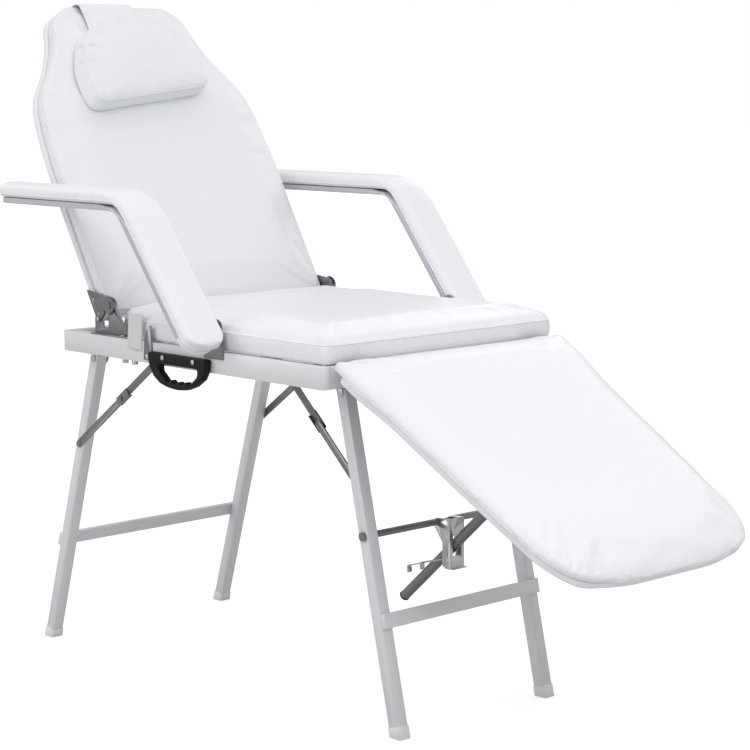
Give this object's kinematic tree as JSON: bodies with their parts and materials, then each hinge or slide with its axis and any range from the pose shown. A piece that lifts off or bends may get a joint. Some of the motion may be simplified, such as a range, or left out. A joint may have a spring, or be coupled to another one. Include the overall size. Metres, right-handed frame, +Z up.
{
  "type": "tattoo chair",
  "caption": "Folding tattoo chair with reclining ratchet backrest, strut-held lowering legrest, swing armrests, head pillow, folding braced legs and carry handle.",
  "frame": {"origin": "centre of the bounding box at floor level", "axes": "+X towards the foot end, +Z up, -Y is the near side with the carry handle"},
  "size_m": [1.47, 0.7216, 1.2236],
  "materials": {
    "white_steel": "gloss",
    "zinc_steel": "satin",
    "bright_steel": "bright",
    "white_vinyl": "satin",
    "plywood": "matte",
    "black_plastic": "satin",
    "grey_plastic": "matte",
    "woven_strap": "matte"
  },
  "bodies": {
    "frame": {"frame_rail_near": "white_steel", "frame_rail_far": "white_steel", "frame_cross_rear": "white_steel", "frame_cross_front": "white_steel", "seat_board": "plywood", "seat_cushion": "white_vinyl", "leg_brackets_rear": "zinc_steel", "leg_brackets_front": "zinc_steel", "leg_pivot_pins": "bright_steel", "brace_anchors": "zinc_steel", "hinge_base_near": "zinc_steel", "hinge_base_far": "zinc_steel", "hinge_base_bolts": "bright_steel", "pawl_pins": "bright_steel", "carry_handle": "black_plastic", "rail_screws": "bright_steel", "arm_brackets": "zinc_steel", "side_fins": "zinc_steel", "textile_strap": "woven_strap", "legrest_hinge_base": "zinc_steel"},
    "backrest": {"backrest_board": "plywood", "backrest_cushion": "white_vinyl", "hinge_arm_near": "zinc_steel", "hinge_arm_far": "zinc_steel", "hinge_arm_screws": "zinc_steel", "ratchet_near": "zinc_steel", "ratchet_far": "zinc_steel"},
    "headrest": {"pillow": "white_vinyl", "pillow_flap": "white_vinyl"},
    "pawl_left": {"pawl_near": "zinc_steel"},
    "pawl_right": {"pawl_far": "zinc_steel"},
    "legrest": {"legrest_board": "plywood", "legrest_cushion": "white_vinyl", "legrest_hinge_leaves": "zinc_steel", "strut_bracket": "zinc_steel"},
    "strut_joint": {"strut_pin": "zinc_steel"},
    "strut": {"strut_tube": "zinc_steel", "strut_end_plug": "black_plastic"},
    "front_frame": {"front_leg_near": "white_steel", "front_leg_far": "white_steel", "front_crossbar": "white_steel", "front_feet": "grey_plastic", "cross_rod": "bright_steel", "cross_rod_spacers": "zinc_steel"},
    "clamp": {"strut_clamp": "bright_steel"},
    "lever": {"release_lever": "zinc_steel"},
    "rear_frame": {"rear_leg_near": "white_steel", "rear_leg_far": "white_steel", "rear_crossbar": "white_steel", "rear_feet": "grey_plastic"},
    "rear_upper": {"rear_brace_upper": "zinc_steel", "rear_brace_sleeves": "zinc_steel"},
    "rear_lower": {"rear_brace_lower": "zinc_steel"},
    "front_upper": {"front_brace_upper": "zinc_steel", "front_brace_sleeves": "zinc_steel"},
    "front_lower": {"front_brace_lower": "zinc_steel"},
    "arm_left": {"arm_pad_near": "white_vinyl", "arm_board_near": "plywood"},
    "arm_right": {"arm_pad_far": "white_vinyl", "arm_board_far": "plywood"}
  },
  "joints": [
    {"name": "backrest_recline", "type": "hinge", "parent": "frame", "child": "backrest", "pos_m": [-0.36695, 0, 0.675], "axis": [0, 1, 0], "range_deg": [-60, 25]},
    {"name": "headrest_slide", "type": "slide", "parent": "backrest", "child": "headrest", "axis": [-0.5, 0, 0.866], "range_m": [0, 0.08]},
    {"name": "pawl_left_lift", "type": "hinge", "parent": "frame", "child": "pawl_left", "pos_m": [-0.39795, -0.2674, 0.648], "axis": [0, 1, 0], "range_deg": [0, 18], "stiffness_Nm_per_rad": 0.02, "springref_deg": -11.46},
    {"name": "pawl_right_lift", "type": "hinge", "parent": "frame", "child": "pawl_right", "pos_m": [-0.39795, 0.2674, 0.648], "axis": [0, 1, 0], "range_deg": [0, 18], "stiffness_Nm_per_rad": 0.02, "springref_deg": -11.46},
    {"name": "legrest_tilt", "type": "hinge", "parent": "frame", "child": "legrest", "pos_m": [0.24505, 0, 0.616], "axis": [0, 1, 0], "range_deg": [-30.7, 7]},
    {"name": "strut_joint_turn", "type": "hinge", "parent": "legrest", "child": "strut_joint", "pos_m": [0.43303, 0, 0.45996], "axis": [0, 1, 0], "range_deg": [-0.5, 45.43]},
    {"name": "strut_swing", "type": "hinge", "parent": "strut_joint", "child": "strut", "pos_m": [0.43303, 0, 0.45996], "axis": [0, 1, 0], "range_deg": [-5.75, 23.52]},
    {"name": "front_legs_fold", "type": "hinge", "parent": "frame", "child": "front_frame", "pos_m": [0.16555, 0, 0.566], "axis": [0, 1, 0], "range_deg": [0, 96]},
    {"name": "clamp_hang", "type": "hinge", "parent": "front_frame", "child": "clamp", "pos_m": [0.219, 0, 0.32977], "axis": [0, 1, 0], "range_deg": [-96.5, 0]},
    {"name": "lever_release", "type": "hinge", "parent": "clamp", "child": "lever", "pos_m": [0.2445, 0, 0.26977], "axis": [0, 1, 0], "range_deg": [0, 8], "stiffness_Nm_per_rad": 0.4, "springref_deg": -17.19},
    {"name": "rear_legs_fold", "type": "hinge", "parent": "frame", "child": "rear_frame", "pos_m": [-0.48025, 0, 0.564], "axis": [0, 1, 0], "range_deg": [-106.8, 0]},
    {"name": "rear_brace_hinge", "type": "hinge", "parent": "frame", "child": "rear_upper", "pos_m": [-0.26581, 0, 0.58783], "axis": [0, 1, 0], "range_deg": [-107.54, 0]},
    {"name": "rear_brace_knee", "type": "hinge", "parent": "rear_upper", "child": "rear_lower", "pos_m": [-0.38909, 0, 0.49892], "axis": [0, 1, 0], "range_deg": [0, 166.25]},
    {"name": "front_brace_hinge", "type": "hinge", "parent": "frame", "child": "front_upper", "pos_m": [-0.03504, 0, 0.60799], "axis": [0, 1, 0], "range_deg": [0, 124.06]},
    {"name": "front_brace_knee", "type": "hinge", "parent": "front_upper", "child": "front_lower", "pos_m": [0.08198, 0, 0.49887], "axis": [0, 1, 0], "range_deg": [-158, 0]},
    {"name": "arm_left_swing", "type": "hinge", "parent": "frame", "child": "arm_left", "pos_m": [-0.04695, -0.32, 0.662], "axis": [0, 1, 0], "range_deg": [-51, 0]},
    {"name": "arm_right_swing", "type": "hinge", "parent": "frame", "child": "arm_right", "pos_m": [-0.04695, 0.32, 0.662], "axis": [0, 1, 0], "range_deg": [-51, 0]}
  ],
  "couplings": [
    {"joint": "strut_swing", "follows": "legrest_tilt", "ratio": -0.75},
    {"joint": "strut_joint_turn", "follows": "front_legs_fold", "ratio": 0.468},
    {"joint": "clamp_hang", "follows": "front_legs_fold", "ratio": -1},
    {"joint": "rear_brace_hinge", "follows": "rear_legs_fold", "ratio": 1.0022},
    {"joint": "rear_brace_knee", "follows": "rear_legs_fold", "ratio": -1.5519},
    {"joint": "front_brace_hinge", "follows": "front_legs_fold", "ratio": 1.2871},
    {"joint": "front_brace_knee", "follows": "front_legs_fold", "ratio": -1.6406}
  ]
}
